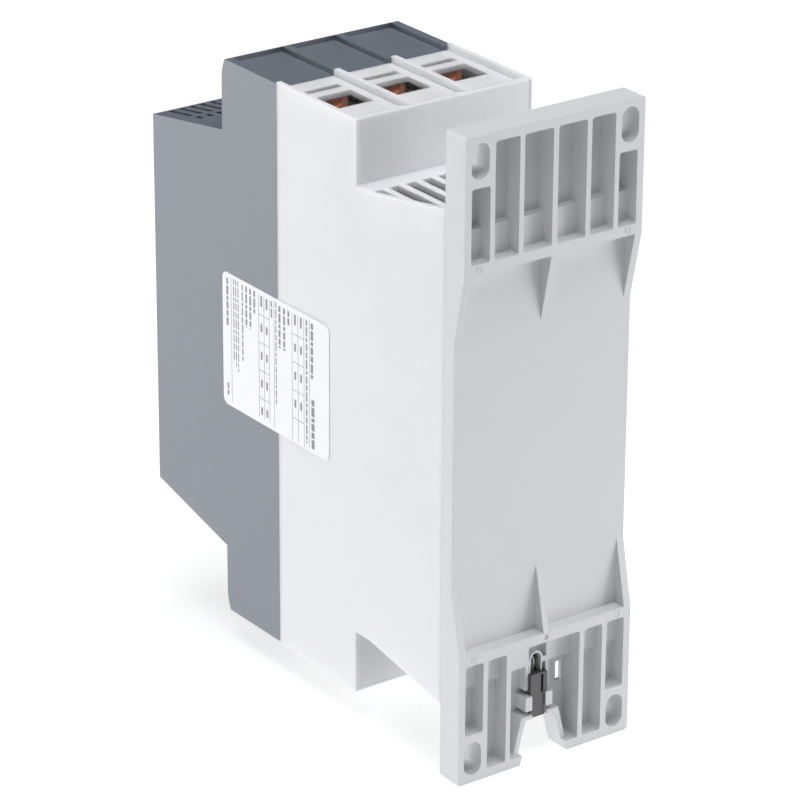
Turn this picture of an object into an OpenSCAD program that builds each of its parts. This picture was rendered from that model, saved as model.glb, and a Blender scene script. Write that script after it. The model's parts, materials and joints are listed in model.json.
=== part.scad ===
// Three-pole motor soft starter, 70 mm wide, for fixing to a wall or panel.
// Frame: millimetres, +Z up, the front faces -Y, the wall is the plane y = 0,
// and the origin is the centre of the four fixing slots.
// Depths are measured from the wall, so a depth d lies at y = -d.

/* [Body] */
// Width of the housing and of the mounting plate
body_w = 70; // [62:0.5:80]
// Height of the mounting plate, which is the height over all
plate_h = 222.4; // [200:0.2:245]
// How far the plate stands out above and below the housing
plate_over = 10.4; // [8:0.1:14]
// Step from the light housing down to the dark cover
cover_step = 0.6; // [0.2:0.1:1.5]
// Wall thickness of the mouldings
wall = 2.2; // [1.8:0.1:2.6]
// Thickness of the tower roofs
roof_t = 1.9; // [1.4:0.1:2.6]

/* [Depths from the wall] */
// Thickness of the mounting plate
plate_t = 10; // [9.6:0.1:12]
// Depth of the terminal towers' rear face
step_d = 57.4; // [54:0.2:60]
// Depth of the joint between housing and cover
split_d = 101.7; // [100:0.1:106]
// Depth of the shoulders' front face
shoulder_d = 133.7; // [130:0.1:140]
// Depth of the nose's front face
nose_d = 176; // [170:0.5:184]

/* [Nose] */
// Height of a shoulder beside the nose
shoulder_h = 24.4; // [22:0.1:28]
// How far the nose's upper and lower faces lean in towards its front
nose_taper = 8.5; // [5:0.1:11]
// Number of louvre slots across the nose
louvre_count = 15; // [7:2:15]
// Width of a louvre slot
louvre_w = 2; // [1.4:0.1:2.6]
// Length of a louvre slot
louvre_l = 13.6; // [8:0.1:16]
// Distance from a side of the nose to the middle of the nearest louvre slot
louvre_edge = 6.3; // [5:0.1:8]

/* [Towers] */
// Height of a tower above its air grille
tower_h = 22.3; // [20:0.1:25]
// Rise of the side cheeks towards the plate
cheek_rise = 6.7; // [4:0.1:8]
// Depth at which the cheeks start to rise
cheek_d = 49.3; // [40:0.1:52]
// Depth of the recess in the tower roofs
roof_drop = 2.3; // [1.5:0.1:3]
// Width of the rims along the sides of the tower roofs
side_rim = 1.65; // [1.2:0.05:2.2]
// Width of the ribs between the poles
rib_w = 2; // [1.4:0.1:2.6]
// Width of a cable window
window_w = 13.8; // [12.6:0.1:15]
// Length of a cable window, front to back
window_l = 12.9; // [12:0.1:14]
// Number of air slots in a grille
grille_count = 9; // [5:2:9]
// Width of an air slot
grille_w = 3.8; // [3:0.1:4.2]
// Width of the narrow air slots beside the side walls
side_slot_w = 2.95; // [2:0.05:3.5]

/* [Mounting plate] */
// Height of the pocketed band at each end
band_h = 45.7; // [44:0.1:50]
// Depth of the recessed panel between the two bands
panel_gap = 4.8; // [4.4:0.1:5.6]
// Width of a fixing slot
slot_w = 6.9; // [5.5:0.1:7.2]
// Length of a fixing slot
slot_l = 11.8; // [9:0.1:12.4]
// Distance from a side of the plate to the middle of a fixing slot
slot_edge = 5.8; // [5.4:0.1:6.6]
// Distance from an end of the plate to the middle of a fixing slot
slot_end = 8.5; // [7.5:0.1:9.5]
// Thickness of the floor in the bands' pockets
band_floor = 1.5; // [1.2:0.1:2.4]

/* [Inside] */
// Thickness of the copper bars
bar_t = 3; // [2.5:0.1:3.4]
// Width of the copper bars
bar_w = 12.4; // [10:0.1:12.6]
// Distance from the joint of housing and cover back to the copper bars
bar_set = 13.9; // [13:0.1:16]
// Thickness of a heat sink fin
fin_t = 1.6; // [1:0.1:2.2]
// Thickness of the heat sink's base
sink_base = 6.8; // [6:0.1:6.9]
// Thickness of the circuit boards
board_t = 1.6; // [1:0.1:2]

/* [Dials] */
// Diameter of a setting dial
dial_dia = 10.4; // [8:0.2:12]
// Distance between the dials
dial_pitch = 24; // [20:0.5:25]
// Diameter of a dial's shaft
dial_shaft = 4; // [3:0.1:5]

/* [Hidden] */
$fn = 32;

// Colours
light_grey = [0.89, 0.90, 0.91];
plate_grey = [0.82, 0.83, 0.85];
dark_grey = [0.45, 0.48, 0.52];
copper = [0.72, 0.42, 0.30];
steel = [0.62, 0.63, 0.65];
black = [0.13, 0.13, 0.14];
board_green = [0.10, 0.33, 0.20];

// Clearances: sliding fits, turning shafts, and the room around loose pieces
slip = 0.2;
turn = 0.05;
room = 0.4;
over = 1;

// Heights that follow from the plate's
body_h = plate_h - 2 * plate_over;
cover_h = body_h - 2 * cover_step;
nose_base_h = cover_h - 2 * shoulder_h;
nose_front_h = nose_base_h - 2 * nose_taper;
duct_h = body_h - 2 * tower_h;
cheek_h = duct_h + 2 * cheek_rise;
panel_h = plate_h - 2 * band_h;

half_w = body_w / 2;
inner_w = half_w - wall;
half_h = body_h / 2;
duct_z = duct_h / 2;
duct_in = duct_z - wall;
pole_pitch = (body_w - 2 * side_rim + rib_w) / 3;
grille_pitch = (inner_w - side_slot_w + grille_w / 2) / ((grille_count + 1) / 2);
slot_dx = body_w - 2 * slot_edge;
slot_dz = plate_h - 2 * slot_end;
pocket_d = plate_t - band_floor;
bar_d = split_d - bar_set;
bar_front = bar_d + bar_t;

// The poles, from the left pole seen from the front to the right one
pole_x = [-pole_pitch, 0, pole_pitch];
// Half width of the middle compartment and inner edge of the outer ones
mid_edge = pole_pitch / 2 - rib_w / 2;
side_edge = pole_pitch / 2 + rib_w / 2;

// Plane outlines: slab() is drawn in x and z and reaches forward from the depth
// rear, prism() is drawn in y and z and reaches right from the place x
module slab(rear, thick) translate([0, -rear, 0]) rotate([90, 0, 0]) linear_extrude(thick) children();
module prism(x, long) translate([x, 0, 0]) rotate([90, 0, 90]) linear_extrude(long) children();
module rod(x, z, rear, long, r) translate([x, -rear, z]) rotate([90, 0, 0]) cylinder(h = long, r = r);
module both_sides() {
  children();
  mirror([1, 0, 0]) children();
}
module both_ends() {
  children();
  mirror([0, 0, 1]) children();
}
module rounded(w, h, r) {
  square([w - 2 * r, h], center = true);
  square([w, h - 2 * r], center = true);
  for (x = [-1, 1], z = [-1, 1]) translate([x * (w / 2 - r), z * (h / 2 - r)]) circle(r);
}
// A rounded window between two corners
module pane(x0, z0, x1, z1, r) translate([(x0 + x1) / 2, (z0 + z1) / 2]) rounded(x1 - x0, z1 - z0, r);
// Points of an arc about a centre, for outlines with round stretches
function arc(y, z, r, from, to, steps = 6) =
  [for (i = [0:steps]) let (a = from + (to - from) * i / steps) [y + r * cos(a), z + r * sin(a)]];

// Mounting plate

plate_r = 1.2;
panel_t = 3;
band_z = panel_h / 2;
band_rim = 3.2;
pocket_r = 0.9;
pocket_z = band_z + 3.5;
pocket_top = plate_h / 2 - band_rim;
short_top = slot_dz / 2 - slot_l / 2 - 2.8;
pocket_web = 1.8;
// Edges of the pocket columns, measured from the middle of the plate
short_edges = [slot_dx / 2 - 4, slot_dx / 2 + 3.2];
outer_edges = [short_edges[0] - pocket_web - 9.4, short_edges[0] - pocket_web];
inner_edges = [1, outer_edges[0] - pocket_web];
bay_w = 28;
low_edges = [bay_w / 2 + pocket_web, short_edges[0] - pocket_web];
// Depth and height of the ledges, and how far the pocket floors lie above the bay's floor
ledge_top = [4.5, 10];
ledge_low = [3.6, 9.6];
floor_top = 0.8;
floor_low = 2.3;
gusset_l = 23;
gusset_mid = 2;
gusset_side = 2.7;
base_screw_x = (grille_count - 1) / 2 * grille_pitch;
base_screw_in = 9.5;
base_screw_z = band_z - base_screw_in;
base_screw_r = 1.6;
boss_r = 3.6;

// One pocket: shallow over its ledge at the panel end, deep beyond it
module pocket(edges, top, ledge, deep) {
  slab(-over, ledge[0] + over) pane(edges[0], pocket_z, edges[1], top, pocket_r);
  slab(-over, deep + over) pane(edges[0], pocket_z + ledge[1], edges[1], top, pocket_r);
}

module fixing_slot() {
  flat = slot_l - slot_w;
  slab(-over, plate_t + 2 * over) translate([slot_dx / 2, slot_dz / 2]) {
    square([slot_w, flat], center = true);
    for (z = [-1, 1]) translate([0, z * flat / 2]) circle(slot_w / 2);
  }
}

module gusset(x, thick)
  prism(x, thick) polygon([[-panel_gap, band_z - gusset_l], [-panel_gap, band_z], [0, band_z]]);

// Bay at the foot: a V-notch lets a plug in from below, and clips hold the socket
foot_z = -plate_h / 2;
notch_h = 14.1;
notch_top_z = foot_z + notch_h;
notch_top_w = 11.8;
notch_foot_w = 20;
notch_wall = 1.7;
notch_shelf = 1.3;
notch_rear = 2.4;
socket_w = 5.9;
socket_step = 0.95;
socket_h = 15.8;
socket_rear = 3.7;
socket_drop = 0.6;
socket_z = [notch_top_z - socket_drop, notch_top_z - socket_drop + socket_h];
bay_ledge = [5, 9.8];
clip_h = 5;
clip_rise = 2.8;
clip_z = [notch_top_z + clip_rise, notch_top_z + clip_rise + clip_h];
clip_x = socket_w / 2 + slip / 2;
clip_w = 2.45;
clip_t = 0.8;
clip_lip = 0.2;
rail_w = 1.2;
rail_gap = 1.5;
arch_r = 2.1;
arch_rise = 4.9;
arch_z = socket_z[1] + arch_rise;
hood_r = 2.7;
recess_x = [-4.2, 3];
recess_h = 4.8;
recess_d = 2.4;
recess_floor = 0.8;
vent_x = [10.8, 13.2];
vent_h = 7;
vent_drop = 0.8;
vent_z = [socket_z[1] - vent_drop - vent_h, socket_z[1] - vent_drop];

module notch_outline(grow, rise) {
  top = notch_top_w / 2 + grow;
  foot = notch_foot_w / 2 + grow;
  low = foot_z - over;
  polygon([[-top, notch_top_z + rise], [top, notch_top_z + rise], [foot, low], [-foot, low]]);
}

module bay_cut() slab(-over, pocket_d + over)
  pane(-bay_w / 2, -pocket_top, bay_w / 2, -pocket_z, pocket_r);

module bay_fittings() {
  floor_t = pocket_d - notch_rear;
  intersection() {
    slab(notch_rear, floor_t + over / 2) notch_outline(notch_wall, notch_shelf);
    slab(0, plate_t) translate([-bay_w / 2, -pocket_top]) square([bay_w, pocket_top - pocket_z]);
  }
  // Floor above the socket, and the hood over its wires
  slab(bay_ledge[0], plate_t - bay_ledge[0])
    translate([-bay_w / 2, -pocket_z - bay_ledge[1]]) square([bay_w, bay_ledge[1]]);
  slab(bay_ledge[0] + slip, plate_t - bay_ledge[0] - slip) {
    translate([0, arch_z]) circle(hood_r);
    translate([-hood_r, socket_z[1]]) square([2 * hood_r, arch_rise]);
  }
  // Rails beside the socket and its shoulder, and the two clips
  for (x = [clip_x, -clip_x - socket_step - rail_w]) slab(bay_ledge[0], plate_t - bay_ledge[0])
    translate([x, clip_z[1] + rail_gap]) square([rail_w, -pocket_z - clip_z[1] - 2 * rail_gap]);
  both_sides() slab(socket_rear - clip_t, plate_t - socket_rear + clip_t)
    translate([clip_x, clip_z[0]]) square([clip_w, clip_h]);
}

// Lips of the clips, over the edges of the socket
module clip_lips() both_sides() slab(socket_rear - clip_t, clip_t - slip / 2)
  translate([clip_x - clip_lip, clip_z[0]]) square([clip_lip + clip_w / 2, clip_h]);

module bay_openings() {
  through = plate_t + 2 * over;
  slab(-over, through) notch_outline(0, 0);
  // Way down for the socket and its shoulder
  slab(-over, pocket_d + over) {
    translate([-clip_x, notch_top_z - over]) square([2 * clip_x, socket_z[1] - notch_top_z + over]);
    translate([-clip_x - socket_step, clip_z[1]]) square([socket_step + slip, socket_z[1] - clip_z[1]]);
  }
  // Arched mouth for the wires, the recess about its hood, and the way up behind it
  slab(-over, through) {
    translate([0, arch_z]) circle(arch_r);
    translate([-arch_r, socket_z[1]]) square([2 * arch_r, arch_rise]);
  }
  slab(-over, bay_ledge[0] + recess_d + over) difference() {
    translate([recess_x[0], arch_z]) square([recess_x[1] - recess_x[0], recess_h]);
    translate([0, arch_z]) circle(hood_r);
  }
  slab(bay_ledge[0] + recess_d + recess_floor, plate_t)
    translate([-arch_r, arch_z]) square([2 * arch_r, recess_h]);
  both_sides() slab(-over, through)
    translate([vent_x[0], vent_z[0]]) square([vent_x[1] - vent_x[0], vent_z[1] - vent_z[0]]);
}

// Marks of the mould on the rims of the bands: four rings and a dimple
mark_r = 1.2;
mark_line = 0.35;
mark_t = 0.15;
dimple_r = 1;
dimple_t = 0.4;
module mould_marks() {
  z = (band_z + pocket_z) / 2;
  both_sides() both_ends() slab(-over, over + mark_t) translate([slot_dx / 2, z]) difference() {
    circle(mark_r);
    circle(mark_r - mark_line);
  }
  rod(0, -z, -over, over + dimple_t, dimple_r);
}

module mounting_plate() color(plate_grey) {
  plate_body();
  clip_lips();
}

module plate_body() difference() {
  union() {
    difference() {
      slab(0, plate_t) rounded(body_w, plate_h, plate_r);
      slab(-over, panel_gap + over) square([body_w + over, panel_h], center = true);
      tray_z = panel_h - 2 * wall;
      slab(panel_gap + panel_t, plate_t) square([2 * inner_w, tray_z], center = true);
      both_sides() both_ends() fixing_slot();
      both_sides() {
        pocket(short_edges, short_top, ledge_top, pocket_d - floor_top);
        for (edges = [inner_edges, outer_edges]) pocket(edges, pocket_top, ledge_top, pocket_d - floor_top);
        mirror([0, 0, 1]) {
          pocket(short_edges, short_top, ledge_low, pocket_d - floor_low);
          pocket(low_edges, pocket_top, ledge_low, pocket_d - floor_low);
        }
      }
      bay_cut();
    }
    both_ends() {
      gusset(-gusset_mid / 2, gusset_mid);
      both_sides() gusset(half_w - gusset_side, gusset_side);
    }
    boss_rear = panel_gap + panel_t / 2;
    both_sides() both_ends() rod(base_screw_x, base_screw_z, boss_rear, plate_t - boss_rear, boss_r);
    bay_fittings();
  }
  bay_openings();
  mould_marks();
  both_sides() both_ends()
    rod(base_screw_x, base_screw_z, panel_gap + 0.8, plate_t, base_screw_r + turn);
}

// Rear housing

roof_z = half_h - roof_drop;
ramp_rear = step_d + 1.1;
ramp_front = step_d + 8.3;
face_inset = 0.35;
face_rim = 0.7;
window_gap = 0.4;
window_d = bar_d - window_gap - window_l / 2;
slit_set = 8.8;
slit_d = split_d - slit_set;
slit_w = 2.8;
slit_l = 13.6;
grille_front = step_d - 7;
grille_rear = plate_t + 2;
ledge_w = 2;
ledge_t = 3;
board_w = inner_w - 1;
board_gap = 4.3;
board_h = 2 * (duct_in - board_gap);
board_boss_x = pole_pitch / 2;
board_boss_in = 8;
board_boss_z = board_h / 2 - board_boss_in;
board_boss_r = 3.3;
board_screw_r = 1.3;
board_screw_l = 8;
relay_d = 14.3;
board_rear = bar_front + relay_d;
power_board_d = board_rear + board_t;
lip_t = 1;
lip_l = 3;
lip_end = 10.8;
lip_z = half_h - lip_end;
sink_front = step_d - slip;
sink_rear = sink_front - sink_base;

// One terminal compartment over pole i, between the heights low and high
module compartment(i, rear, front, low, high) {
  edge = inner_w;
  x0 = i == 0 ? -edge : i == 1 ? -mid_edge : side_edge;
  x1 = i == 0 ? -side_edge : i == 1 ? mid_edge : edge;
  translate([x0, -front, low]) cube([x1 - x0, front - rear, high - low]);
}

// Recess in the roof over pole i: flat, then a ramp up to the rear edge
module roof_recess(i) {
  edge = half_w - side_rim;
  x0 = i == 0 ? -edge : i == 1 ? -mid_edge : side_edge;
  x1 = i == 0 ? -side_edge : i == 1 ? mid_edge : edge;
  top = half_h + over;
  prism(x0, x1 - x0) polygon([
    [-split_d - over, roof_z], [-ramp_front, roof_z], [-ramp_rear, half_h],
    [-ramp_rear, top], [-split_d - over, top]
  ]);
}

module grille_slots() {
  low = duct_in - over;
  last = (grille_count - 1) / 2;
  for (i = [-last:last]) translate([i * grille_pitch - grille_w / 2, -grille_front, low])
    cube([grille_w, grille_front - grille_rear, wall + 2 * over]);
  // A narrower slot beside each side wall
  edge = (last + 1) * grille_pitch - grille_w / 2;
  both_sides() translate([edge, -grille_front, low])
    cube([inner_w - edge, grille_front - grille_rear, wall + 2 * over]);
}

module tower_cuts() {
  for (i = [0:2]) {
    x = pole_x[i];
    low = roof_z - roof_t - over;
    compartment(i, step_d + face_inset + wall, split_d + over, duct_z, roof_z - roof_t);
    roof_recess(i);
    translate([x - window_w / 2, -window_d - window_l / 2, low])
      cube([window_w, window_l, roof_drop + roof_t + 2 * over]);
    translate([x - slit_l / 2, -slit_d - slit_w / 2, low]) cube([slit_l, slit_w, roof_t + 2 * over]);
    translate([x - bar_w / 2 - slip, -bar_d - bar_t - slip, duct_in - over])
      cube([bar_w + 2 * slip, bar_t + 2 * slip, wall + 2 * over]);
  }
  // Rear face, set in a little from the edges of the side walls
  translate([-half_w + face_rim, -step_d - face_inset, duct_z])
    cube([body_w - 2 * face_rim, face_inset + over, half_h - duct_z - face_rim]);
  grille_slots();
}

// Boss for the power board, standing between two bars on a web from the tower floor
module board_boss() difference() {
  rear = sink_front + over;
  union() {
    rod(board_boss_x, board_boss_z, rear, board_rear - rear, board_boss_r);
    translate([board_boss_x - rib_w / 2, -board_rear, board_boss_z])
      cube([rib_w, board_rear - rear, duct_in + wall / 2 - board_boss_z]);
  }
  tap = board_screw_l + 2 * over;
  rod(board_boss_x, board_boss_z, board_rear - tap, tap + over, board_screw_r + turn);
}

module rear_housing() color(light_grey) {
  difference() {
    union() {
      translate([-half_w, -split_d, -half_h]) cube([body_w, split_d - step_d, body_h]);
      translate([-half_w, -step_d - over, -duct_z]) cube([body_w, step_d + over - plate_t, duct_h]);
      cheek_z = cheek_h / 2;
      both_sides() prism(inner_w, wall) polygon([
        [-step_d, duct_z - over], [-cheek_d, duct_z - over], [-cheek_d, duct_z], [-plate_t, cheek_z],
        [-plate_t, -cheek_z], [-cheek_d, -duct_z], [-cheek_d, over - duct_z], [-step_d, over - duct_z]
      ]);
    }
    translate([-inner_w, -split_d - over, -duct_in])
      cube([2 * inner_w, split_d - plate_t + 2 * over, 2 * duct_in]);
    both_ends() tower_cuts();
  }
  both_sides() {
    // Ledge that the heat sink clamps down, and the lip that centres the cover
    translate([inner_w - ledge_w, -sink_rear, over - duct_in]) cube([ledge_w, ledge_t, 2 * (duct_in - over)]);
    translate([inner_w, -split_d - lip_l, -lip_z]) cube([lip_t, lip_l, 2 * lip_z]);
    both_ends() board_boss();
  }
}

// Front cover

cover_z = cover_h / 2;
pocket_floor = 1.7;
cover_roof = cover_z - pocket_floor;
cover_rim = 3.1;
front_rim = 2;
divider_in = 0.85;
crown_r = 16;
crown_a = 28;
tube_r = 6;
tube_in = 4.5;
clamp_in_z = 11.8;
clamp_z = half_h - clamp_in_z;
nose_in = nose_d - wall;
// The nose tapers more at its foot: its front lies higher than its base
nose_lift = 1.25;
nose_drop = 0.5;
louvre_front = nose_d - 1.2;
louvre_pitch = (half_w - louvre_edge) / ((louvre_count - 1) / 2);
louvre_lip = 0.8;
louvre_deep = 5.2;
louvre_steps = 6;
louvre_curve = 1.2;
louvre_bar = 2.6;
rear_louvre_l = 3.8;
dial_z = 10;
dial_seat = 1;
dial_r = dial_dia / 2;
shaft_r = dial_shaft / 2;
control_set = 10;
control_d = nose_d - control_set;
control_gap = 2.3;
control_w = 2 * (inner_w - control_gap);
control_end = 6.3;
control_h = nose_front_h - 2 * control_end;
control_screw_l = 5;
post_x = control_w / 2 - 4;
post_z = control_h / 2 - 8;
post_r = 3;
light_x = 14;
light_z = post_z + 1;
light_r = 1.5;
block_gap = 1.7;
block_w = 2 * (post_x - post_r - block_gap);
block_h = 14;
block_z = [1 - control_h / 2, 1 - control_h / 2 + block_h];

// Half height of the nose at its front, at its base and between, at the upper end (1) or the lower (-1)
function nose_front(end) = nose_front_h / 2 + end * nose_lift;
function nose_base(end) = nose_base_h / 2 - end * nose_drop;
function nose_slope(end) = (nose_base(end) - nose_front(end)) / (nose_d - shoulder_d);
function nose_z(d, end) = nose_base(end) - (d - shoulder_d) * nose_slope(end);
module at_end(end) if (end > 0) children();
  else mirror([0, 0, 1]) children();

// Half of the cover's outer outline, with the crowned shoulder edge
module cover_outline(end) {
  crown = arc(-shoulder_d + crown_r, cover_z - crown_r * sin(crown_a), crown_r, 180, 180 - crown_a);
  nose = [[-nose_d, -over], [-nose_d, nose_front(end)], [-shoulder_d, nose_base(end)]];
  polygon(concat([[-split_d, -over]], nose, crown, [[-split_d, cover_z]]));
}

module cover_hollow(end) {
  front = shoulder_d - wall;
  thin = wall / cos(atan(nose_slope(end)));
  polygon([[-split_d + over, -2 * over], [-nose_in, -2 * over], [-nose_in, nose_z(nose_in, end) - thin],
    [-front, nose_z(front, end) - thin], [-front, cover_roof - wall], [-split_d + over, cover_roof - wall]]);
}

// Open pockets in the shoulder roof, one over each pole, between rims and dividers
module cover_pockets() {
  divider = pole_pitch / 2 - divider_in;
  inner = divider - cover_rim / 2;
  outer = divider + cover_rim / 2;
  edge = half_w - cover_rim;
  front = shoulder_d - front_rim;
  for (x = [[-edge, -outer], [-inner, inner], [outer, edge]])
    translate([x[0], -front, cover_roof]) cube([x[1] - x[0], front - split_d + over, pocket_floor + over]);
}

// A louvre starts as a shallow scoop at the front and falls away until it opens
module louvres(end) {
  last = (louvre_count - 1) / 2;
  top = nose_base(end) + over;
  rear = louvre_front - louvre_l;
  scoop = [for (i = [0:louvre_steps]) let (t = i / louvre_steps, d = louvre_front - t * louvre_l)
    [-d, nose_z(d, end) - louvre_lip - (louvre_deep - louvre_lip) * pow(t, louvre_curve)]];
  start = rear - louvre_bar;
  for (i = [-last:last]) {
    x = i * louvre_pitch - louvre_w / 2;
    prism(x, louvre_w) polygon(concat(scoop, [[-rear, top], [-louvre_front, top]]));
    translate([x, -start, nose_z(start, end) - louvre_deep]) cube([louvre_w, rear_louvre_l, 2 * louvre_deep]);
  }
}

module guide_tubes(rear, front, r)
  for (x = pole_x) rod(x, clamp_z, rear, front - rear, r);

module cover_shell() difference() {
  union() {
    difference() {
      for (end = [1, -1]) at_end(end) prism(-half_w, body_w) cover_outline(end);
      for (end = [1, -1]) at_end(end) prism(-inner_w, 2 * inner_w) cover_hollow(end);
    }
    both_ends() guide_tubes(split_d, shoulder_d - wall / 2, tube_r);
    both_sides() both_ends() rod(post_x, post_z, control_d, nose_in - control_d + wall / 2, post_r);
  }
  for (end = [1, -1]) at_end(end) {
    cover_pockets();
    louvres(end);
    guide_tubes(split_d - over, shoulder_d + over, tube_in);
  }
  // Rebate that takes the housing's lip
  both_sides() translate([inner_w - over, -split_d - lip_l - slip, -lip_z - slip])
    cube([lip_t + over + slip / 2, lip_l + over + slip, 2 * (lip_z + slip)]);
}

module front_cover() color(dark_grey) difference() {
  cover_shell();
  for (i = [-1:1]) {
    rod(0, dial_z + i * dial_pitch, nose_d - dial_seat, dial_seat + over, dial_r + room);
    rod(0, dial_z + i * dial_pitch, nose_in - over, wall + 2 * over, shaft_r + turn);
  }
  both_sides() rod(light_x, light_z, nose_in - over, wall + 2 * over, light_r + turn);
  slab(nose_in - over, wall + 2 * over)
    pane(-block_w / 2 - slip, block_z[0] - slip, block_w / 2 + slip, block_z[1] + slip, block_r);
  both_sides() both_ends()
    rod(post_x, post_z, control_d - over, control_screw_l + 2 * over, board_screw_r + turn);
}

// Rating label, wrapped flat over the joint on the right side

label_d = [72.2, 134.4];
label_z = [-22.7, 25.4];
label_t = 0.15;
label_r = 2.5;

module rating_label() color("white") prism(half_w, label_t)
  pane(-label_d[1], label_z[0], -label_d[0], label_z[1], label_r);

// Heat sink

sink_w = inner_w - room;
sink_h = 2 * (duct_in - 0.8);
fin_count = grille_count + 1;
lead_rise = 6.9;
lead_hole_z = arch_z + lead_rise;
lead_hole_r = 3;
module_gap = 4.3;
module_w = pole_pitch - module_gap;
module_h = 62;
ear_l = 8;
ear_t = 3.2;
module_screw_z = module_h / 2 + ear_l / 2;
module_screw_r = 1.5;
module_screw_l = 5;
tap = module_screw_l + 0.5;

module heat_sink() color([0.78, 0.79, 0.80]) difference() {
  union() {
    translate([-sink_w, -sink_front, -sink_h / 2]) cube([2 * sink_w, sink_base, sink_h]);
    for (i = [0:fin_count - 1]) {
      x = (i - (fin_count - 1) / 2) * grille_pitch;
      translate([x - fin_t / 2, -sink_rear - over, -sink_h / 2])
        cube([fin_t, sink_rear + over - plate_t, sink_h]);
    }
  }
  both_sides() both_ends() {
    rod(base_screw_x, base_screw_z, sink_rear - over, sink_base + 2 * over, base_screw_r + slip);
    rod(pole_pitch, module_screw_z, sink_front - tap, tap + over, module_screw_r + turn);
  }
  rod(0, lead_hole_z, sink_rear - over, sink_base + 2 * over, lead_hole_r);
}

// Thyristor modules: a sealed block with an ear and a terminal pad at each end

pad_l = 14;
saddle = 3;
bar_screw_z = 26;
bar_screw_r = 1.5;
bar_screw_l = 7;

module thyristor(x) color(black) difference() {
  union() {
    translate([x - module_w / 2, -sink_front - ear_t, -module_h / 2 - ear_l])
      cube([module_w, ear_t, module_h + 2 * ear_l]);
    translate([x - module_w / 2, -bar_d, -module_h / 2]) cube([module_w, bar_d - sink_front, module_h]);
  }
  translate([x - module_w / 2 - over, -bar_d - over, -module_h / 2 + pad_l])
    cube([module_w + 2 * over, saddle + over, module_h - 2 * pad_l]);
  both_ends() {
    rod(x, module_screw_z, sink_front - over, ear_t + 2 * over, module_screw_r + slip);
    rod(x, bar_screw_z, bar_d - bar_screw_l - over, bar_screw_l + 2 * over, bar_screw_r + turn);
  }
}
module thyristor_module_1() thyristor(pole_x[0]);
module thyristor_module_3() thyristor(pole_x[2]);

// Bypass relays, between the bars' inner ends and the power board

bar_end_z = module_h / 2 - pad_l + 0.5;
relay_inset = 1.6;
relay_w = module_w - relay_inset;
relay_foot = 4.5;
relay_h = 2 * (bar_end_z + relay_foot);

module relay(x) color([0.16, 0.17, 0.19]) difference() {
  translate([x - relay_w / 2, -board_rear, -relay_h / 2]) cube([relay_w, relay_d, relay_h]);
  // Foot raised between the two contact pads
  translate([x - relay_w / 2 - over, -bar_front - 2, -bar_end_z])
    cube([relay_w + 2 * over, 2 + over, 2 * bar_end_z]);
}
module bypass_relay_1() relay(pole_x[0]);
module bypass_relay_3() relay(pole_x[2]);

// Copper bars and terminal clamps

bar_tip_z = roof_z - roof_t - slip;
bar_r = 1;
seat_w = 8.4;
seat_h = 3;
seat_t = 0.9;
seat_r = 1.6;

module bar_shape(x, low, high) {
  slab(bar_d, bar_t) pane(x - bar_w / 2, low, x + bar_w / 2, high, bar_r);
}
// Seat pressed into the rear face at the tip, where the cable lies
module grip(x) slab(bar_d - over, seat_t + over)
  pane(x - seat_w / 2, bar_tip_z - seat_h, x + seat_w / 2, bar_tip_z + seat_h, seat_r);

module pole_bar(x) color(copper) difference() {
  bar_shape(x, bar_end_z, bar_tip_z);
  grip(x);
  rod(x, bar_screw_z, bar_d - over, bar_t + 2 * over, bar_screw_r + slip);
}
module line_bar_1() pole_bar(pole_x[0]);
module line_bar_3() pole_bar(pole_x[2]);
module load_bar_1() mirror([0, 0, 1]) pole_bar(pole_x[0]);
module load_bar_3() mirror([0, 0, 1]) pole_bar(pole_x[2]);
module through_bar() color(copper) difference() {
  bar_shape(0, -bar_tip_z, bar_tip_z);
  both_ends() grip(0);
}

clamp_h = 10;
clamp_side = 1.5;
clamp_back = 1.8;
clamp_nut = 3.6;
clamp_in = bar_w / 2 + slip;
cable_gap = 12.6;
nut_gap = 2.2;
clamp_rear = bar_d - cable_gap;
clamp_front = bar_front + nut_gap;
clamp_r = 3;

module clamp(x) color(steel) difference() {
  translate([x - clamp_in - clamp_side, -clamp_front - clamp_nut, clamp_z - clamp_h / 2])
    cube([2 * (clamp_in + clamp_side), clamp_front + clamp_nut - clamp_rear + clamp_back, clamp_h]);
  translate([x - clamp_in, -clamp_front, clamp_z - clamp_h / 2 - over])
    cube([2 * clamp_in, clamp_front - clamp_rear, clamp_h + 2 * over]);
  rod(x, clamp_z, clamp_front - over, clamp_nut + 2 * over, clamp_r + turn);
}
module line_clamp_1() clamp(pole_x[0]);
module line_clamp_2() clamp(pole_x[1]);
module line_clamp_3() clamp(pole_x[2]);
module load_clamp_1() mirror([0, 0, 1]) clamp(pole_x[0]);
module load_clamp_2() mirror([0, 0, 1]) clamp(pole_x[1]);
module load_clamp_3() mirror([0, 0, 1]) clamp(pole_x[2]);

// Boards and what is soldered to them

header_w = 22;
header_h = 6;
header_d = 5;
power_header_in = 26;
power_header_z = board_h / 2 - power_header_in;
control_header_in = 22;
control_header_z = control_h / 2 - control_header_in;
control_rear = control_d - board_t;
pot_r = 5;
pot_h = 5.5;
pot_floor = 1.5;

module header(z) translate([0, z]) square([header_w, header_h], center = true);

module power_board() color(board_green) difference() {
  union() {
    slab(board_rear, board_t) square([2 * board_w, board_h], center = true);
    slab(power_board_d - 0.1, header_d + 0.1) header(power_header_z);
  }
  through = board_t + 2 * over;
  both_sides() both_ends() rod(board_boss_x, board_boss_z, board_rear - over, through, board_screw_r + slip);
}

transformer_w = 30;
transformer_h = 36;
transformer_d = 23;
transformer_z = -8;
module supply_transformer() color([0.25, 0.25, 0.28]) slab(power_board_d, transformer_d)
  translate([-10, transformer_z]) rounded(transformer_w, transformer_h, 1.5);

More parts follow.
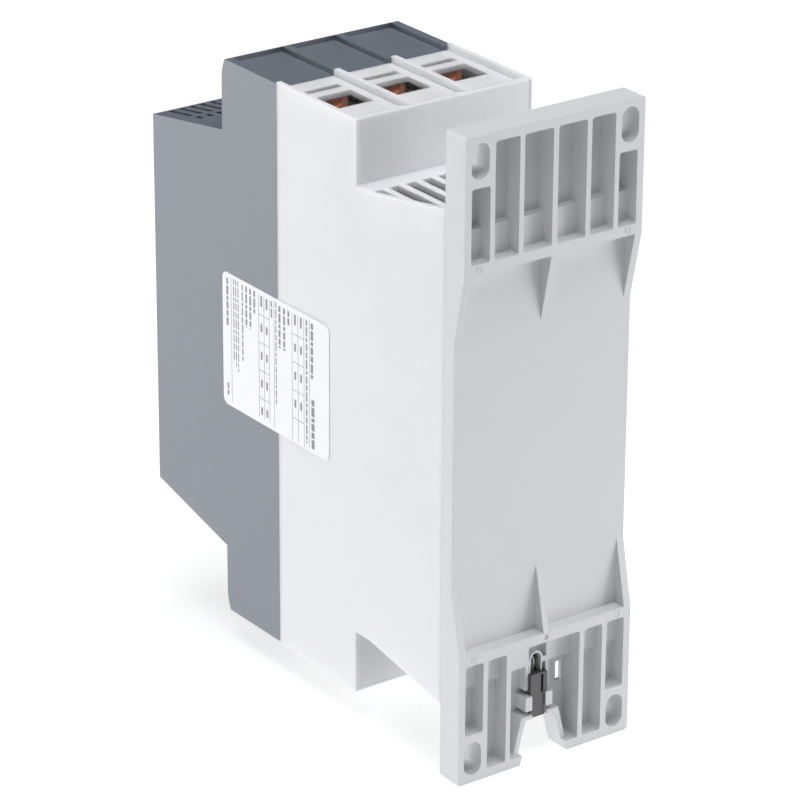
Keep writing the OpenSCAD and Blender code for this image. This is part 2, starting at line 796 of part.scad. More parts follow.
capacitor_r = 6.3;
capacitor_l = 18;
capacitor_in = 13.8;
capacitor_z = [-20, 4];
module supply_capacitors() color([0.20, 0.22, 0.30])
  for (z = capacitor_z) rod(board_w - capacitor_in, z, power_board_d, capacitor_l, capacitor_r);

module control_board() color(board_green) difference() {
  union() {
    slab(control_rear, board_t) square([control_w, control_h], center = true);
    slab(control_rear - header_d, header_d + 0.1) header(control_header_z);
    for (i = [-1:1]) rod(0, dial_z + i * dial_pitch, control_d - 0.1, pot_h + 0.1, pot_r);
  }
  both_sides() both_ends() rod(post_x, post_z, control_rear - over, board_t + 2 * over, board_screw_r + slip);
  for (i = [-1:1]) rod(0, dial_z + i * dial_pitch, control_d + pot_floor, pot_h, shaft_r + turn);
}

// Flat cable between the two headers
ribbon_t = 0.8;
ribbon_w = 20;
ribbon_bend = 130;
module board_ribbon() color([0.55, 0.56, 0.58]) {
  start = power_board_d + header_d;
  finish = control_rear - header_d;
  drop = power_header_z - control_header_z;
  up = power_header_z + ribbon_t / 2;
  low = power_header_z - ribbon_t / 2;
  prism(-ribbon_w / 2, ribbon_w) polygon([
    [-start, low], [-ribbon_bend, low], [-ribbon_bend - drop, low - drop], [-finish, low - drop],
    [-finish, up - drop], [-ribbon_bend - drop, up - drop], [-ribbon_bend, up], [-start, up]
  ]);
}

// Dials and light pipes

dial_t = 2.8;
dial_rear = nose_d - dial_seat + 0.1;
driver_w = 1.2;
driver_t = 1.2;
shaft_end = control_d + pot_floor + 0.5;

module dial(i) color([0.88, 0.88, 0.86]) {
  z = dial_z + i * dial_pitch;
  difference() {
    union() {
      rod(0, z, dial_rear, dial_t, dial_r);
      rod(0, z, shaft_end, dial_rear - shaft_end + 0.1, shaft_r);
    }
    // Screwdriver slot and the pointer nick at the rim
    slab(dial_rear + dial_t - driver_t, driver_t + over) translate([0, z]) {
      square([driver_w, dial_dia * 0.7], center = true);
      translate([0, dial_r]) rotate(45) square(1.4, center = true);
    }
  }
}
module start_dial() dial(1);
module stop_dial() dial(0);
module voltage_dial() dial(-1);

light_flange = 2.4;
module light_pipe(x) color([0.85, 0.90, 0.86]) {
  rod(x, light_z, control_d, nose_d - control_d + 0.4, light_r);
  rod(x, light_z, nose_in - 1.2, 1.2, light_flange);
}
module ready_light() light_pipe(-light_x);
module run_light() light_pipe(light_x);

// Control terminals

terminal_pitch = 5.08;
terminal_end = 1.4;
terminal_count = floor((block_w - 2 * terminal_end) / terminal_pitch);
block_set = 0.8;
block_r = 0.5;
block_front = nose_d - block_set;
well_r = 1.9;
well_l = 5;
well_in = 3.4;
well_z = block_z[1] - well_in;
funnel_w = 3.2;
funnel_h = 3.8;
funnel_l = 7;
funnel_in = 4.4;
funnel_z = block_z[0] + funnel_in;
function terminal_x(i) = (i - (terminal_count - 1) / 2) * terminal_pitch;

module control_terminals() color([0.30, 0.45, 0.36]) difference() {
  slab(control_d, block_front - control_d) pane(-block_w / 2, block_z[0], block_w / 2, block_z[1], block_r);
  for (i = [0:terminal_count - 1]) {
    rod(terminal_x(i), well_z, block_front - well_l, well_l + over, well_r);
    slab(block_front - funnel_l, funnel_l + over)
      translate([terminal_x(i), funnel_z]) square([funnel_w, funnel_h], center = true);
  }
}

terminal_screw_r = 1.75;
terminal_screw_l = 3;
module control_screws() color(steel) for (i = [0:terminal_count - 1]) difference() {
  rear = block_front - well_l;
  rod(terminal_x(i), well_z, rear, terminal_screw_l, terminal_screw_r);
  slab(rear + terminal_screw_l - 0.8, 0.8 + over)
    translate([terminal_x(i), well_z]) square([0.6, 2.6], center = true);
}

// Fasteners

clamp_screw_front = split_d - 1;
socket_key = 2.4;
module clamp_screws() color(steel) both_ends() for (x = pole_x) difference() {
  rod(x, clamp_z, bar_front, clamp_screw_front - bar_front, clamp_r);
  translate([x, -clamp_screw_front - over, clamp_z]) rotate([-90, 0, 0])
    cylinder(h = 4 + over, r = socket_key, $fn = 6);
}

// A cheese-head screw whose head bears at the depth seat and points to the front
module cheese_screw(x, z, seat, long, r, head_r, head_t) difference() {
  union() {
    rod(x, z, seat - long, long + 0.1, r);
    rod(x, z, seat, head_t, head_r);
  }
  slab(seat + head_t - 0.9, 0.9 + over) translate([x, z]) square([0.8, 2 * head_r + over], center = true);
}

module bar_screws() color(steel) both_sides() both_ends()
  cheese_screw(pole_pitch, bar_screw_z, bar_front, bar_t + bar_screw_l, bar_screw_r, 2.6, 2.2);
module module_screws() color(steel) both_sides() both_ends()
  cheese_screw(
    pole_pitch, module_screw_z, sink_front + ear_t, ear_t + module_screw_l, module_screw_r, 2.7, 2.2);
module base_screws() color(steel) both_sides() both_ends()
  cheese_screw(base_screw_x, base_screw_z, sink_front, sink_front - panel_gap - 1, base_screw_r, 3, 2.6);
module power_board_screws() color(steel) both_sides() both_ends()
  cheese_screw(board_boss_x, board_boss_z, power_board_d, board_t + board_screw_l, board_screw_r, 2.5, 1.8);

// The control board's screws point forward into the posts of the cover
module control_board_screws() color(steel) both_sides() both_ends() {
  rod(post_x, post_z, control_rear - 0.1, board_t + control_screw_l + 0.1, board_screw_r);
  difference() {
    rod(post_x, post_z, control_rear - 1.8, 1.8, 2.5);
    slab(control_rear - 1.8 - over, 0.8 + over) translate([post_x, post_z]) square([0.8, 6], center = true);
  }
}

// Fan socket and its leads

key_x = -1.75;
key_w = 1;
key_h = 6.6;
key_t = 1.4;
key_end = 0.7;
mouth = [4.4, 2.6];
module fan_socket() color(black) {
  thick = pocket_d - socket_rear;
  low = clip_z[1] + slip / 2;
  difference() {
    slab(socket_rear, thick) {
      translate([-socket_w / 2, socket_z[0]]) square([socket_w, socket_h]);
      // Shoulder that rests on the clip
      translate([-socket_w / 2 - socket_step, low]) square([socket_step + slip, socket_z[1] - low]);
    }
    slab(socket_rear - over, key_t + over)
      translate([key_x - key_w / 2, socket_z[1] - key_end - key_h]) square([key_w, key_h]);
    translate([-mouth[0] / 2, lead_y - mouth[1] / 2, socket_z[0] - over]) cube([mouth[0], mouth[1], 8]);
  }
}

lead_r = 0.7;
lead_sides = 8;
lead_y = -(socket_rear + pocket_d) / 2;
// Route of the leads: out of the socket, through the arch, between two fins, to the power board
lead_x = board_boss_x - 3.15;
lead_route = [
  [0, lead_y, socket_z[1]], [0, lead_y, arch_z - 1.6], [0, lead_y - 0.7, arch_z - 0.3],
  [0, lead_y - 2.3, arch_z + 0.6], [0, -plate_t - 1.2, arch_z + 2.6], [0, -30, arch_z + 4.9],
  [0, -46, lead_hole_z], [0, -60, lead_hole_z], [lead_x - 3.9, -68, lead_hole_z],
  [lead_x - 0.1, -78, lead_hole_z], [lead_x, -88, lead_hole_z], [lead_x, -board_rear, lead_hole_z]
];

function unit(v) = v / norm(v);
function heading(p, i) = unit(p[min(i + 1, len(p) - 1)] - p[max(i - 1, 0)]);
// A ring of points square to the route at point i, with one side kept along x
function ring(p, i) = let (
    t = i == 0 ? [0, 0, 1] : i == len(p) - 1 ? [0, -1, 0] : heading(p, i),
    b = unit(cross(t, [1, 0, 0])), n = cross(b, t)
  ) [for (k = [0:lead_sides - 1]) let (a = 360 * k / lead_sides) p[i] + lead_r * (cos(a) * n + sin(a) * b)];

module lead(x) {
  path = [for (p = lead_route) p + [x, 0, 0]];
  last = len(path) - 1;
  points = [for (i = [0:last]) each ring(path, i)];
  skin = [for (i = [0:last - 1], k = [0:lead_sides - 1]) let (a = i * lead_sides, j = (k + 1) % lead_sides)
    [a + k, a + j, a + lead_sides + j, a + lead_sides + k]];
  start = [for (k = [0:lead_sides - 1]) lead_sides - 1 - k];
  end = [for (k = [0:lead_sides - 1]) last * lead_sides + k];
  polyhedron(points, concat([start], skin, [end]), convexity = 6);
}
module fan_leads() color([0.10, 0.10, 0.11]) for (x = [-1.1, 1.1]) lead(x);

mounting_plate();
rear_housing();
front_cover();
rating_label();
heat_sink();
thyristor_module_1();
thyristor_module_3();
bypass_relay_1();
bypass_relay_3();
power_board();
supply_transformer();
supply_capacitors();
control_board();
board_ribbon();
line_bar_1();
line_bar_3();
load_bar_1();
load_bar_3();
through_bar();
line_clamp_1();
line_clamp_2();
line_clamp_3();
load_clamp_1();
load_clamp_2();
load_clamp_3();
start_dial();
stop_dial();
voltage_dial();
ready_light();
run_light();
control_terminals();
control_screws();
clamp_screws();
bar_screws();
module_screws();
base_screws();
power_board_screws();
control_board_screws();
fan_socket();
fan_leads();
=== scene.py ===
import json
import math

import bpy
from mathutils import Matrix, Vector


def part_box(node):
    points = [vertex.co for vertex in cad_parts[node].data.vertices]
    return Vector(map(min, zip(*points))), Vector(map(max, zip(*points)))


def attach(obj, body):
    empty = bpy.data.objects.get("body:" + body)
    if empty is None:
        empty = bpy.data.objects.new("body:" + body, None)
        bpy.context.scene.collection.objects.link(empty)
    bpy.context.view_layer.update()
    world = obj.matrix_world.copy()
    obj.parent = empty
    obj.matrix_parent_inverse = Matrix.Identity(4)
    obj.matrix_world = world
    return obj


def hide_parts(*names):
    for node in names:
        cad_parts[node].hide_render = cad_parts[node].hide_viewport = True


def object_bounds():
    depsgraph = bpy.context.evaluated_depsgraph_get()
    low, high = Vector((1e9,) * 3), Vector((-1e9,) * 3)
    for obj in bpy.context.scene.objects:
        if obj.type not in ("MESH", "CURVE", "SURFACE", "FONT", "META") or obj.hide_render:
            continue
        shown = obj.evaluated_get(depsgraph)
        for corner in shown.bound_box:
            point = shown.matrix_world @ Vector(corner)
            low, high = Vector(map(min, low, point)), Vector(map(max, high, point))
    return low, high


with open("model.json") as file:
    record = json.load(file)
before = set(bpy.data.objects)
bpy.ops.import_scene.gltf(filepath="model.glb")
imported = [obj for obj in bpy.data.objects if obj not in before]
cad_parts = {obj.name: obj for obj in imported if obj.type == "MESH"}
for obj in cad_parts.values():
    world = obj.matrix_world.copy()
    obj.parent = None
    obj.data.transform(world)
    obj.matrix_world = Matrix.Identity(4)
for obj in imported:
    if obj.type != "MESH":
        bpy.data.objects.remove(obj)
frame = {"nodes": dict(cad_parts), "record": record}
nodes = frame["nodes"]
cadLow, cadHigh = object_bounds()
mm = 0.001
root = "starter"
print("frame:", len(nodes), "nodes")


# camera: same view as the product picture
photoCamera = {
    "place": (0.7475, 0.9464, 0.5354),
    "aim": (0.0344, -0.0339, 0.0131),
    "lens": 186.8,
    "sensor": 36,
    "roll": 0.33,    # degrees, the picture is not quite level
    "near": 0.01,
}


def placeCamera(spec):
    place, aim = Vector(spec["place"]), Vector(spec["aim"])
    turn = (aim - place).to_track_quat("-Z", "Y").to_matrix().to_4x4()
    turn = turn @ Matrix.Rotation(math.radians(spec["roll"]), 4, "Z")
    bpy.ops.object.camera_add(location=place, rotation=turn.to_euler())
    camera = bpy.context.object
    camera.data.lens = spec["lens"]
    camera.data.sensor_width = spec["sensor"]
    camera.data.clip_start = spec["near"]
    bpy.context.scene.camera = camera


placeCamera(photoCamera)
print("camera placed")


# studio: pale floor on a light table, an even surround, three soft boxes and a dark flag behind
studio = {
    "floorSize": 8.0,
    "floorGap": 0.2,        # mm under the object
    "floorColour": (0.45, 0.45, 0.45),
    "floorGlow": 0.72,      # lifts the floor to white for the camera only
    "surround": 0.05,
    "tint": (0.975, 0.985, 1.0),   # of the lamps
    "boxes": [
        {"name": "leftBox", "toward": (0.80, -0.58, 0.05), "reach": 1.6, "size": (1.0, 0.34),
         "power": 15.0},
        {"name": "rightBox", "toward": (-0.82, 0.54, 0.12), "reach": 1.6, "size": (0.9, 0.5),
         "power": 15.8},
        {"name": "topBox", "toward": (0.05, 0.10, 0.99), "reach": 1.5, "size": (1.2, 1.2),
         "power": 22.0},
        {"name": "tableBox", "toward": (0, 0, -1), "reach": 0.1113, "size": (1.6, 1.6),
         "power": 4.6},
    ],
    "flag": {"toward": (-0.54, -0.74, 0.40), "reach": 1.2, "size": 1.3,
             "colour": (0.02, 0.02, 0.02)},
}


def rayKinds(tree):
    # camera, glossy and transmission rays together, as 0 or 1
    path = tree.nodes.new("ShaderNodeLightPath")
    first = tree.nodes.new("ShaderNodeMath")
    first.operation = "MAXIMUM"
    second = tree.nodes.new("ShaderNodeMath")
    second.operation = "MAXIMUM"
    tree.links.new(path.outputs["Is Camera Ray"], first.inputs[0])
    tree.links.new(path.outputs["Is Glossy Ray"], first.inputs[1])
    tree.links.new(first.outputs[0], second.inputs[0])
    tree.links.new(path.outputs["Is Transmission Ray"], second.inputs[1])
    return second.outputs[0]


def scaleRange(tree, value, low, high):
    ranger = tree.nodes.new("ShaderNodeMapRange")
    ranger.inputs["To Min"].default_value = low
    ranger.inputs["To Max"].default_value = high
    tree.links.new(value, ranger.inputs["Value"])
    return ranger.outputs["Result"]


def buildStudio(spec):
    floorZ = cadLow.z - spec["floorGap"] * mm
    bpy.ops.mesh.primitive_plane_add(size=spec["floorSize"], location=(0, 0, floorZ))
    floor = bpy.context.object
    floor.name = "floor"
    material = bpy.data.materials.new("floorPaper")
    material.use_nodes = True
    tree = material.node_tree
    tree.nodes.clear()
    out = tree.nodes.new("ShaderNodeOutputMaterial")
    paper = tree.nodes.new("ShaderNodeBsdfDiffuse")
    paper.inputs["Color"].default_value = (*spec["floorColour"], 1)
    glow = tree.nodes.new("ShaderNodeEmission")
    both = tree.nodes.new("ShaderNodeAddShader")
    tree.links.new(scaleRange(tree, rayKinds(tree), 0, spec["floorGlow"]), glow.inputs["Strength"])
    tree.links.new(paper.outputs[0], both.inputs[0])
    tree.links.new(glow.outputs[0], both.inputs[1])
    tree.links.new(both.outputs[0], out.inputs["Surface"])
    floor.data.materials.append(material)

    world = bpy.data.worlds.new("studioSurround")
    world.use_nodes = True
    bpy.context.scene.world = world
    sky = world.node_tree.nodes["Background"]
    sky.inputs["Color"].default_value = (1, 1, 1, 1)
    strength = scaleRange(world.node_tree, rayKinds(world.node_tree), spec["surround"], 1)
    world.node_tree.links.new(strength, sky.inputs["Strength"])

    aim = (cadLow + cadHigh) / 2
    for box in spec["boxes"]:
        side = Vector(box["toward"]).normalized()
        turn = side.to_track_quat("Z", "Y").to_euler()
        bpy.ops.object.light_add(type="AREA", location=aim + side * box["reach"], rotation=turn)
        lamp = bpy.context.object
        lamp.name = box["name"]
        lamp.data.shape = "RECTANGLE"
        lamp.data.size, lamp.data.size_y = box["size"]
        lamp.data.energy = box["power"]
        lamp.data.color = spec["tint"]
        lamp.visible_camera = False

    # the flag keeps the roofs from mirroring the white surround
    cloth = spec["flag"]
    side = Vector(cloth["toward"]).normalized()
    turn = side.to_track_quat("Z", "Y").to_euler()
    bpy.ops.mesh.primitive_plane_add(size=cloth["size"], location=aim + side * cloth["reach"],
                                     rotation=turn)
    flag = bpy.context.object
    flag.name = "flag"
    flag.visible_camera = False
    velvet = bpy.data.materials.new("flagVelvet")
    velvet.use_nodes = True
    velvetShader = velvet.node_tree.nodes["Principled BSDF"]
    velvetShader.inputs["Base Color"].default_value = (*cloth["colour"], 1)
    flag.data.materials.append(velvet)
    bpy.context.scene.view_settings.view_transform = "Standard"


buildStudio(studio)
print("studio lit")


# finishes
def linear(colour):
    # 0-255 screen values to the shader's linear ones
    def one(v):
        v = v / 255
        return v / 12.92 if v <= 0.04045 else ((v + 0.055) / 1.055) ** 2.4
    return tuple(one(v) for v in colour) + (1,)


# through: the share of light that goes into the plastic
finishes = {
    "lightPlastic": {"colour": (226, 227, 229), "rough": (0.42, 0.56), "grain": 1500,
                     "bump": 0.05, "gloss": 0.6, "through": 0.7},
    "platePlastic": {"colour": (211, 212, 214), "rough": (0.42, 0.56), "grain": 1500,
                     "bump": 0.05, "gloss": 0.5},
    "darkPlastic": {"colour": (98, 106, 116), "rough": (0.36, 0.46), "grain": 1400,
                    "bump": 0.06, "gloss": 0.9},
    "blackPlastic": {"colour": (76, 74, 78), "rough": (0.35, 0.50), "grain": 1600,
                     "bump": 0.05, "gloss": 0.5},
    "dialPlastic": {"colour": (226, 226, 220), "rough": (0.30, 0.42), "grain": 1800,
                    "bump": 0.03, "gloss": 0.5},
    "terminalPlastic": {"colour": (96, 128, 108), "rough": (0.38, 0.50), "grain": 1600,
                        "bump": 0.05, "gloss": 0.5},
    "leadSkin": {"colour": (30, 30, 32), "rough": (0.35, 0.45), "grain": 1600,
                 "bump": 0.04, "gloss": 0.5},
    "ribbonSkin": {"colour": (168, 170, 174), "rough": (0.40, 0.50), "grain": 1600,
                   "bump": 0.03, "gloss": 0.5},
    "labelFilm": {"colour": (240, 241, 243), "rough": (0.30, 0.36), "grain": 700,
                  "bump": 0.01, "gloss": 0.5},
    "labelInk": {"colour": (132, 132, 138), "rough": (0.40, 0.50), "grain": 900,
                 "bump": 0.01, "gloss": 0.4},
    "scaleInk": {"colour": (228, 229, 230), "rough": (0.40, 0.50), "grain": 900,
                 "bump": 0.01, "gloss": 0.4},
}

# shared by all moulded finishes; depths in mm
moulding = {"paler": 1.03, "deeper": 0.97, "clouds": 28, "wear": 180, "throughDepth": 3.6,
            "grainDetail": 3, "grainDepth": 0.2}


def startMaterial(name):
    material = bpy.data.materials.new(name)
    material.use_nodes = True
    tree = material.node_tree
    place = tree.nodes.new("ShaderNodeTexCoord").outputs["Object"]
    return material, tree, tree.nodes["Principled BSDF"], place


def noise(tree, place, scale, detail=4, roughness=0.55):
    node = tree.nodes.new("ShaderNodeTexNoise")
    node.inputs["Scale"].default_value = scale
    node.inputs["Detail"].default_value = detail
    node.inputs["Roughness"].default_value = roughness
    tree.links.new(place, node.inputs["Vector"])
    return node.outputs["Fac"]


def bumpFrom(tree, height, strength, distance):
    node = tree.nodes.new("ShaderNodeBump")
    node.inputs["Strength"].default_value = strength
    node.inputs["Distance"].default_value = distance
    tree.links.new(height, node.inputs["Height"])
    return node.outputs["Normal"]


def tint(tree, factor, low, high):
    node = tree.nodes.new("ShaderNodeMix")
    node.data_type = "RGBA"
    node.inputs["A"].default_value = low
    node.inputs["B"].default_value = high
    tree.links.new(factor, node.inputs["Factor"])
    return node.outputs["Result"]


def mouldedPlastic(name, spec):
    material, tree, shader, place = startMaterial(name)
    colour = linear(spec["colour"])
    paler = tuple(min(1, c * moulding["paler"]) for c in colour[:3]) + (1,)
    deeper = tuple(c * moulding["deeper"] for c in colour[:3]) + (1,)
    clouds = noise(tree, place, moulding["clouds"])
    tree.links.new(tint(tree, clouds, deeper, paler), shader.inputs["Base Color"])
    rough = scaleRange(tree, noise(tree, place, moulding["wear"]), *spec["rough"])
    tree.links.new(rough, shader.inputs["Roughness"])
    shader.inputs["Specular IOR Level"].default_value = spec["gloss"]
    shader.inputs["Subsurface Weight"].default_value = spec.get("through", 0)
    shader.inputs["Subsurface Radius"].default_value = (1, 1, 1)
    shader.inputs["Subsurface Scale"].default_value = moulding["throughDepth"] * mm
    grain = noise(tree, place, spec["grain"], moulding["grainDetail"])
    relief = bumpFrom(tree, grain, spec["bump"], moulding["grainDepth"] * mm)
    tree.links.new(relief, shader.inputs["Normal"])
    return material


metals = {
    "copperBar": {"colour": (255, 192, 164), "stain": 0.88, "lay": (1, 1, 0.08), "grain": 900,
                  "rough": (0.34, 0.55), "bump": 0.12, "metallic": 0.35},
    "zincSteel": {"colour": (150, 152, 156), "stain": 0.8, "lay": (1, 0.1, 1), "grain": 700,
                  "rough": (0.28, 0.45), "bump": 0.10, "metallic": 1},
    "sinkAluminium": {"colour": (205, 206, 208), "stain": 0.85, "lay": (1, 1, 0.03), "grain": 1000,
                      "rough": (0.30, 0.48), "bump": 0.10, "metallic": 1},
    "coreIron": {"colour": (88, 88, 94), "stain": 0.7, "lay": (1, 0.02, 1), "grain": 900,
                 "rough": (0.40, 0.60), "bump": 0.15, "metallic": 1},
    "canSleeve": {"colour": (60, 66, 96), "stain": 0.8, "lay": (1, 1, 1), "grain": 400,
                  "rough": (0.30, 0.40), "bump": 0.03, "metallic": 0.4},
}
# shared by all metals; depth in mm
metalwork = {"stains": 90, "lineDetail": 5, "lineRough": 0.65, "lineDepth": 0.1}


def metal(name, spec):
    material, tree, shader, place = startMaterial(name)
    stretch = tree.nodes.new("ShaderNodeMapping")
    stretch.inputs["Scale"].default_value = spec["lay"]
    tree.links.new(place, stretch.inputs["Vector"])
    lines = noise(tree, stretch.outputs[0], spec["grain"], metalwork["lineDetail"],
                  metalwork["lineRough"])
    colour = linear(spec["colour"])
    deeper = tuple(c * spec["stain"] for c in colour[:3]) + (1,)
    stains = noise(tree, place, metalwork["stains"])
    tree.links.new(tint(tree, stains, deeper, colour), shader.inputs["Base Color"])
    tree.links.new(scaleRange(tree, lines, *spec["rough"]), shader.inputs["Roughness"])
    relief = bumpFrom(tree, lines, spec["bump"], metalwork["lineDepth"] * mm)
    tree.links.new(relief, shader.inputs["Normal"])
    shader.inputs["Metallic"].default_value = spec["metallic"]
    return material


boardFinish = {"mask": (30, 92, 62), "track": (44, 112, 78), "grid": 260, "rough": (0.25, 0.38),
               "wear": 160, "bump": 0.2, "trackDepth": 0.05}
pipeFinish = {"colour": (214, 230, 216), "cloudy": 0.92, "clouds": 300, "rough": 0.18, "clear": 0.6,
              "ior": 1.49}


def circuitBoard(name, spec):
    material, tree, shader, place = startMaterial(name)
    tracks = tree.nodes.new("ShaderNodeTexBrick")
    tracks.inputs["Color1"].default_value = linear(spec["mask"])
    tracks.inputs["Color2"].default_value = linear(spec["mask"])
    tracks.inputs["Mortar"].default_value = linear(spec["track"])
    tracks.inputs["Scale"].default_value = spec["grid"]
    # the boards lie across the depth
    turn = tree.nodes.new("ShaderNodeMapping")
    turn.inputs["Rotation"].default_value = (math.radians(90), 0, 0)
    tree.links.new(place, turn.inputs["Vector"])
    tree.links.new(turn.outputs[0], tracks.inputs["Vector"])
    tree.links.new(tracks.outputs["Color"], shader.inputs["Base Color"])
    rough = scaleRange(tree, noise(tree, place, spec["wear"]), *spec["rough"])
    tree.links.new(rough, shader.inputs["Roughness"])
    relief = bumpFrom(tree, tracks.outputs["Fac"], spec["bump"], spec["trackDepth"] * mm)
    tree.links.new(relief, shader.inputs["Normal"])
    return material


def lightPipe(name, spec):
    material, tree, shader, place = startMaterial(name)
    clear = linear(spec["colour"])
    cloudy = tuple(c * spec["cloudy"] for c in clear[:3]) + (1,)
    clouds = noise(tree, place, spec["clouds"])
    tree.links.new(tint(tree, clouds, cloudy, clear), shader.inputs["Base Color"])
    shader.inputs["Roughness"].default_value = spec["rough"]
    shader.inputs["Transmission Weight"].default_value = spec["clear"]
    shader.inputs["IOR"].default_value = spec["ior"]
    return material


materials = {name: mouldedPlastic(name, spec) for name, spec in finishes.items()}
materials.update({name: metal(name, spec) for name, spec in metals.items()})
materials["boardMask"] = circuitBoard("boardMask", boardFinish)
materials["clearPipe"] = lightPipe("clearPipe", pipeFinish)

# the finish that each of the record's slots wears
wears = {
    "plate_plastic": "platePlastic", "light_plastic": "lightPlastic", "dark_plastic": "darkPlastic",
    "label": "labelFilm", "aluminium": "sinkAluminium", "black_plastic": "blackPlastic",
    "circuit_board": "boardMask", "core": "coreIron", "can": "canSleeve", "ribbon": "ribbonSkin",
    "copper": "copperBar", "steel": "zincSteel", "dial": "dialPlastic", "light_pipe": "clearPipe",
    "terminal_plastic": "terminalPlastic", "lead": "leadSkin",
}
for part in frame["record"]["subparts"]:
    node = nodes[part["node"]]
    node.data.materials.clear()
    node.data.materials.append(materials[wears[part["material_slot"]]])
print("finishes on", len(nodes), "nodes")


# soft edges on the CAD pieces: the most that each takes, in mm
edgeRounds = {
    "mounting_plate": 0.35, "rear_housing": 0.4, "front_cover": 0.35, "fan_socket": 0.2,
    "start_dial": 0.3, "stop_dial": 0.3, "voltage_dial": 0.3, "control_terminals": 0.15,
}
softEdge = {"weld": 0.002, "segments": 2, "angle": 40}


def softenEdges(node, width):
    weld = node.modifiers.new("weld", "WELD")
    weld.merge_threshold = softEdge["weld"] * mm
    bevel = node.modifiers.new("soft", "BEVEL")
    bevel.width = width * mm
    bevel.segments = softEdge["segments"]
    bevel.limit_method = "ANGLE"
    bevel.angle_limit = math.radians(softEdge["angle"])
    bevel.use_clamp_overlap = True
    bevel.miter_outer = "MITER_ARC"
    # the weld upsets the stored normals, which this sets anew
    shade = node.modifiers.new("shade", "WEIGHTED_NORMAL")
    shade.keep_sharp = True


for name, width in edgeRounds.items():
    softenEdges(nodes[name], width)
print("edges softened")


def addBar(place, size, turn=0.0):
    bpy.ops.mesh.primitive_cube_add(size=1, location=place, rotation=(0, turn, 0), scale=size)
    return bpy.context.object


def joinBars(name, bars, material):
    # one print from all its bars, with its origin at the frame's
    bpy.ops.object.select_all(action="DESELECT")
    for bar in bars:
        bar.select_set(True)
    bpy.context.view_layer.objects.active = bars[0]
    bpy.ops.object.join()
    bpy.ops.object.transform_apply(location=True, rotation=True, scale=True)
    piece = bpy.context.object
    piece.name = name
    piece.data.materials.clear()
    piece.data.materials.append(materials[material])
    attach(piece, root)


# fan leads: two wires from the socket through the plate and the sink to the power board
fanLeads = {
    "thick": 1.4, "apart": 2.2, "long": 106, "steps": 8, "facets": 3,
    # mm, from the socket to the board
    "route": [(0, -6.1, -81.9), (0, -6.1, -78.6), (0, -6.8, -77.3), (0, -8.4, -76.4),
              (0, -11.2, -74.4), (0, -20.6, -73.3), (0, -30, -72.1), (0, -38, -71.1),
              (0, -46, -70.1), (0, -53, -70.1), (0, -60, -70.1), (4.4, -68, -70.1),
              (8.2, -78, -70.1), (8.3, -88, -70.1), (8.3, -96.5, -70.1), (8.3, -105.1, -70.1)],
}


def layLead(name, shift, spec):
    bpy.ops.object.select_all(action="DESELECT")
    bpy.ops.curve.primitive_bezier_curve_add(location=(0, 0, 0))
    lead = bpy.context.object
    lead.name = name
    points = lead.data.splines[0].bezier_points
    points.add(len(spec["route"]) - len(points))
    for point, place in zip(points, spec["route"]):
        point.co = (Vector(place) + Vector((shift, 0, 0))) * mm
        point.handle_left_type = point.handle_right_type = "AUTO"
    lead.data.resolution_u = spec["steps"]
    lead.data.bevel_depth = spec["thick"] / 2 * mm
    lead.data.bevel_resolution = spec["facets"]
    lead.data.use_fill_caps = True
    lead.data.materials.append(materials["leadSkin"])
    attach(lead, root)
    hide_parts("fan_leads")


layLead("fanLeadRight", fanLeads["apart"] / 2, fanLeads)
layLead("fanLeadLeft", -fanLeads["apart"] / 2, fanLeads)
print("leads laid")


# label: a blank form, ruled and greeked; its lines run down, as on the object
labelForm = {
    "ink": 0.05, "ruleWide": 0.2, "words": (2.1, 3.3, 1.4, 2.6), "space": 0.55,
    # from the rear edge, then from the top to the end, in mm
    "rules": [(11.2, 1.2, 47.0), (31.6, 1.4, 46.8), (57.0, 1.4, 46.6)],
    "tables": [{"rules": (14.3, 17.7, 21.1), "cells": (9.1, 19.1, 29.1, 39.2),
                "span": (1.8, 47.2), "full": 3},
               {"rules": (34.4, 37.5, 40.6), "cells": (8.8, 18.8, 28.8, 38.8),
                "span": (1.6, 46.0), "full": 4}],
    # marks in a table: at its head, and after each cell's rule
    "headMark": (2, 5.8), "cellMark": (3.2, 6.0), "markTall": 1.0,
    # text lines: from the rear edge, from, to, height
    "lines": [(9.7, 2, 22, 1.3), (9.2, 29, 46.5, 1.7), (12.8, 1.6, 45.5, 0.8), (23.2, 2, 7, 1.1),
              (25.7, 2, 17, 1.1), (28.4, 2, 17, 1.1), (30.5, 1.2, 38, 0.55), (33.1, 1.8, 8, 0.8),
              (43.2, 1.5, 10, 1.0), (45.6, 1.5, 16, 1.0), (48.0, 1.5, 16, 1.0),
              (50.3, 1.5, 29, 0.7), (52.9, 1.2, 34, 0.5), (54.2, 1.2, 33, 0.5),
              (55.5, 1.2, 31, 0.5), (59.3, 2, 19, 1.1), (59.3, 40, 44.5, 1.0)],
}


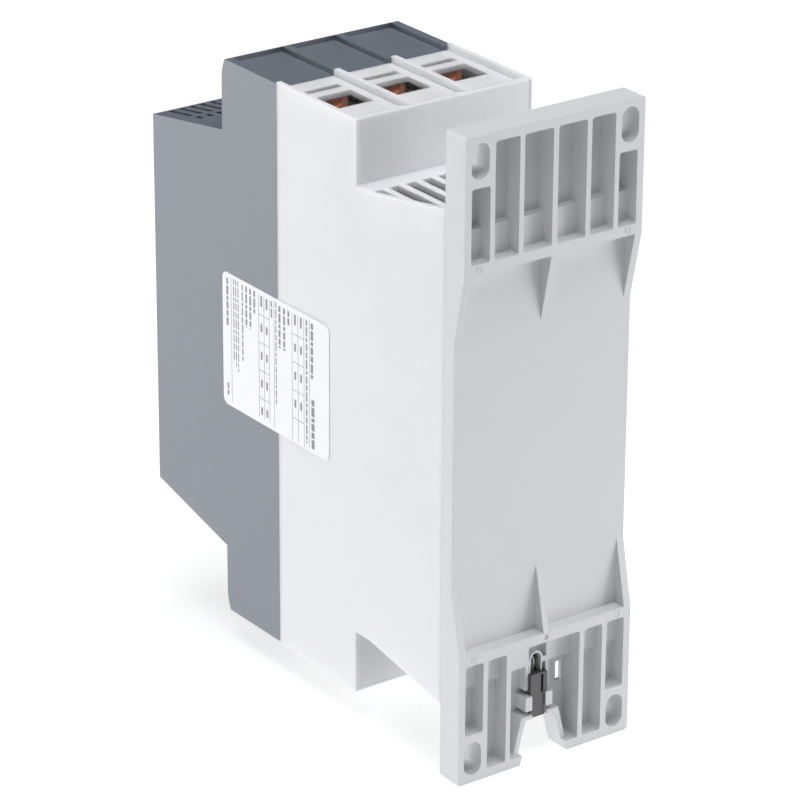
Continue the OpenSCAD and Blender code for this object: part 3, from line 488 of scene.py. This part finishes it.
def printLabel(spec):
    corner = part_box("rating_label")[1]

    def bar(across, start, end, wide):
        along = (start + end) / 2
        middle = Vector((corner.x, corner.y - across * mm, corner.z - along * mm))
        return addBar(middle, (spec["ink"] * mm, wide * mm, (end - start) * mm))

    def words(across, start, end, tall):
        found, at, turn = [], start, 0
        while at < end:
            long = min(spec["words"][turn % len(spec["words"])], end - at)
            found.append(bar(across, at, at + long, tall))
            at, turn = at + long + spec["space"], turn + 1
        return found

    bars = [bar(across, start, end, spec["ruleWide"]) for across, start, end in spec["rules"]]
    for table in spec["tables"]:
        first, middle, last = table["rules"]
        for across in table["rules"]:
            bars.append(bar(across, *table["span"], spec["ruleWide"]))
        half = spec["ruleWide"] / 2
        for cell in table["cells"]:
            bars.append(bar((first + last) / 2, cell - half, cell + half, last - first))
        for across in ((first + middle) / 2, (middle + last) / 2):
            bars.append(bar(across, *spec["headMark"], spec["markTall"]))
            for cell in table["cells"][:table["full"]]:
                start, end = spec["cellMark"]
                bars.append(bar(across, cell + start, cell + end, spec["markTall"]))
    for line in spec["lines"]:
        bars += words(*line)
    joinBars("labelPrint", bars, "labelInk")


printLabel(labelForm)
print("label printed")


# scales of the three dials, printed on the front
dialScale = {
    "dials": ("start_dial", "stop_dial", "voltage_dial"),
    "ticks": 11, "longEvery": 5, "sweep": 270,
    "gap": 1.1, "short": 1.0, "long": 1.7, "wide": 0.3, "ink": 0.05,   # mm
}


def printScales(spec):
    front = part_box("front_cover")[0].y
    bars = []
    for dial in spec["dials"]:
        low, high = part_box(dial)
        middle, edge = (low + high) / 2, (high.x - low.x) / 2
        for tick in range(spec["ticks"]):
            angle = math.radians(spec["sweep"] * (tick / (spec["ticks"] - 1) - 0.5))
            long = (spec["long"] if tick % spec["longEvery"] == 0 else spec["short"]) * mm
            out = edge + spec["gap"] * mm + long / 2
            place = (middle.x + out * math.sin(angle), front, middle.z + out * math.cos(angle))
            bars.append(addBar(place, (spec["wide"] * mm, spec["ink"] * mm, long), angle))
    joinBars("dialScales", bars, "scaleInk")


printScales(dialScale)
print("scales printed")
